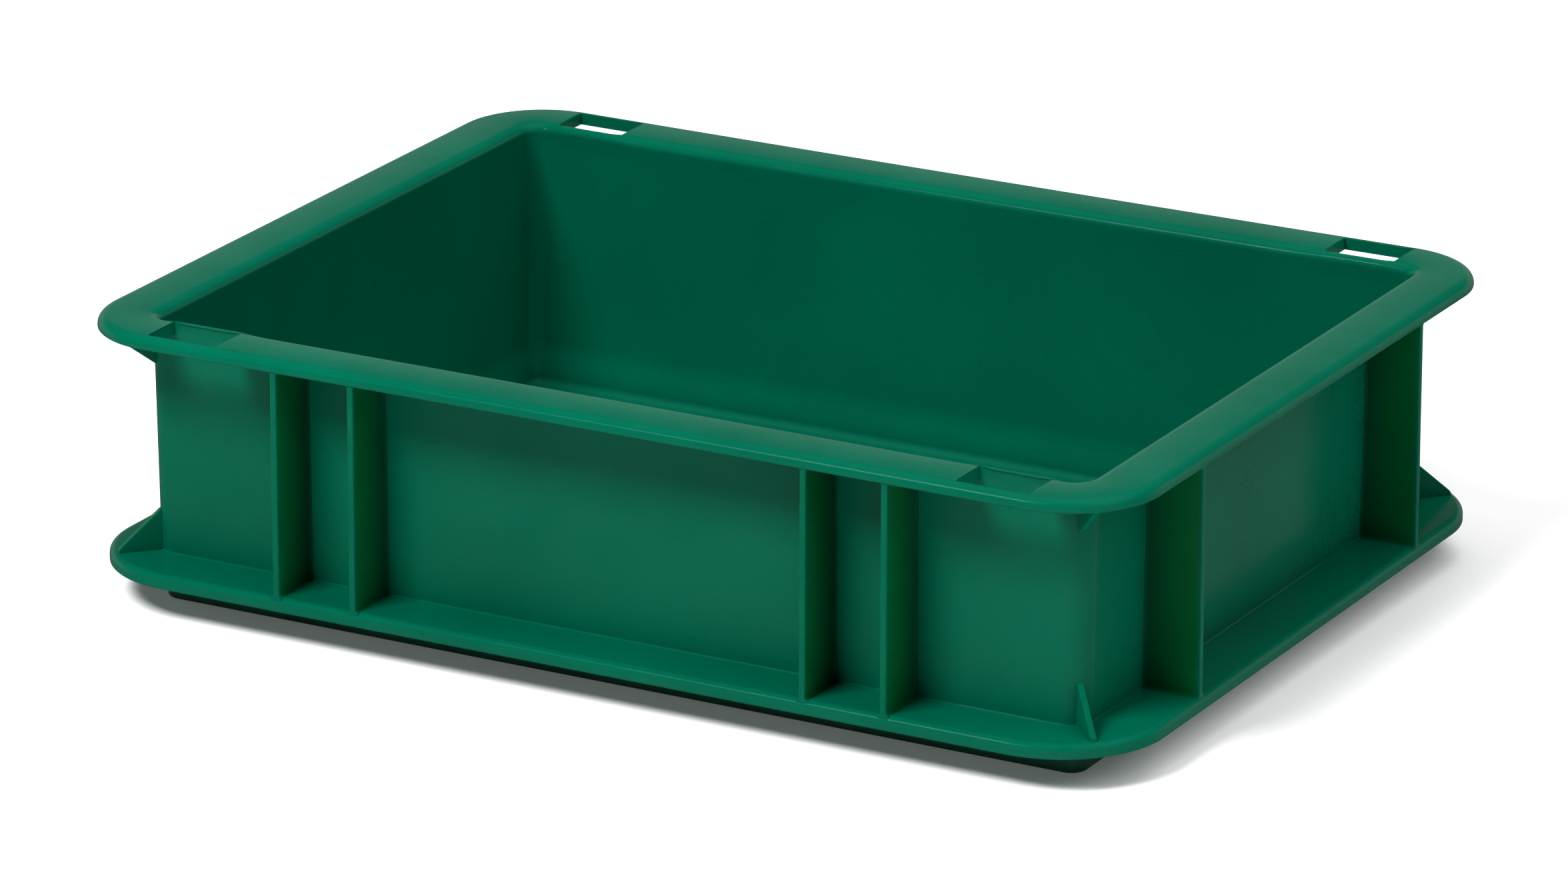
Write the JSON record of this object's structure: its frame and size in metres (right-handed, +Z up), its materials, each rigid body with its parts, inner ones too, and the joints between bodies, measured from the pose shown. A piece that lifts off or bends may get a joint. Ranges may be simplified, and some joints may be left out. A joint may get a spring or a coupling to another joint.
{
  "type": "stacking plastic crate",
  "caption": "Shallow rectangular stacking crate with plain drafted walls, a flat rim with lid slots, a base flange, outside ribs, corner gussets and a stacking foot.",
  "frame": {"origin": "on the ground under the middle of the crate, at the underside of its stacking foot", "axes": "+X along the long sides, towards the right-hand end; +Y towards the rear long side; +Z up"},
  "size_m": [0.4, 0.3, 0.102],
  "materials": {
    "crate_plastic": "green polypropylene, satin, as moulded"
  },
  "bodies": {
    "root": {"floor_panel": "crate_plastic", "foot_front": "crate_plastic", "foot_right": "crate_plastic", "foot_rear": "crate_plastic", "foot_left": "crate_plastic", "foot_corner_front_left": "crate_plastic", "foot_corner_front_right": "crate_plastic", "foot_corner_rear_left": "crate_plastic", "foot_corner_rear_right": "crate_plastic", "wall_front": "crate_plastic", "wall_right": "crate_plastic", "wall_rear": "crate_plastic", "wall_left": "crate_plastic", "wall_corner_front_left": "crate_plastic", "wall_corner_front_right": "crate_plastic", "wall_corner_rear_left": "crate_plastic", "wall_corner_rear_right": "crate_plastic", "flange_front": "crate_plastic", "flange_right": "crate_plastic", "flange_rear": "crate_plastic", "flange_left": "crate_plastic", "flange_corner_front_left": "crate_plastic", "flange_corner_front_right": "crate_plastic", "flange_corner_rear_left": "crate_plastic", "flange_corner_rear_right": "crate_plastic", "rim_front": "crate_plastic", "rim_right": "crate_plastic", "rim_rear": "crate_plastic", "rim_left": "crate_plastic", "rim_corner_front_left": "crate_plastic", "rim_corner_front_right": "crate_plastic", "rim_corner_rear_left": "crate_plastic", "rim_corner_rear_right": "crate_plastic", "rib_front_1": "crate_plastic", "rib_front_2": "crate_plastic", "rib_front_3": "crate_plastic", "rib_front_4": "crate_plastic", "rib_right_1": "crate_plastic", "rib_right_2": "crate_plastic", "rib_rear_1": "crate_plastic", "rib_rear_2": "crate_plastic", "rib_rear_3": "crate_plastic", "rib_rear_4": "crate_plastic", "rib_left_1": "crate_plastic", "rib_left_2": "crate_plastic", "base_gusset_front_left": "crate_plastic", "base_gusset_front_right": "crate_plastic", "base_gusset_rear_left": "crate_plastic", "base_gusset_rear_right": "crate_plastic", "rim_gusset_front_left": "crate_plastic", "rim_gusset_front_right": "crate_plastic", "rim_gusset_rear_left": "crate_plastic", "rim_gusset_rear_right": "crate_plastic"}
  },
  "joints": []
}
